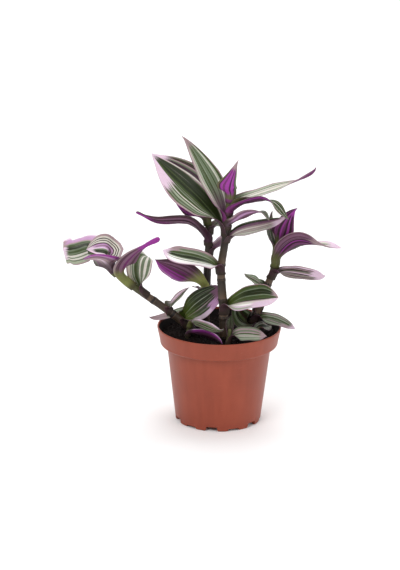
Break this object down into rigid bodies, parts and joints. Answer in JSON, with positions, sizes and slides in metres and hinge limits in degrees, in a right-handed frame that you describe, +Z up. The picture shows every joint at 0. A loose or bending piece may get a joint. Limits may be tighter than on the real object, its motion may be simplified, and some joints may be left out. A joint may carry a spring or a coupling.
{
  "type": "potted tradescantia plant",
  "caption": "Bushy foliage plant with striped, pointed leaves on upright and leaning stems, growing from soil in a tapered round plastic nursery pot with a collar.",
  "frame": {"origin": "centre of the pot's underside, on the surface that the pot stands on", "axes": "+Z up through the pot's axis, +X to the right and +Y to the back, as the picture looks at it"},
  "size_m": [0.2667, 0.12, 0.2814],
  "materials": {
    "pot": "satin",
    "soil": "rough",
    "stem": "satin",
    "leaf": "satin"
  },
  "bodies": {
    "root": {"pot": "pot", "soil": "soil", "main_stem": "stem", "back_stem": "stem", "left_stem": "stem", "right_stem": "stem", "young_stem": "stem", "low_stem": "stem", "side_stem": "stem", "main_leaf_01": "leaf", "main_leaf_02": "leaf", "main_leaf_03": "leaf", "main_leaf_04": "leaf", "main_leaf_05": "leaf", "main_leaf_06": "leaf", "main_leaf_07": "leaf", "main_leaf_08": "leaf", "main_leaf_09": "leaf", "back_leaf_01": "leaf", "back_leaf_02": "leaf", "back_leaf_03": "leaf", "back_leaf_04": "leaf", "back_leaf_05": "leaf", "back_leaf_06": "leaf", "back_leaf_07": "leaf", "back_leaf_08": "leaf", "left_leaf_01": "leaf", "left_leaf_02": "leaf", "left_leaf_03": "leaf", "left_leaf_04": "leaf", "left_leaf_05": "leaf", "left_leaf_06": "leaf", "left_leaf_07": "leaf", "low_leaf_01": "leaf", "low_leaf_02": "leaf", "right_leaf_01": "leaf", "right_leaf_02": "leaf", "right_leaf_03": "leaf", "right_leaf_04": "leaf", "right_leaf_05": "leaf", "right_leaf_06": "leaf", "right_leaf_07": "leaf", "right_leaf_08": "leaf", "right_leaf_09": "leaf", "side_leaf_01": "leaf", "young_leaf_01": "leaf", "young_leaf_02": "leaf"}
  },
  "joints": []
}
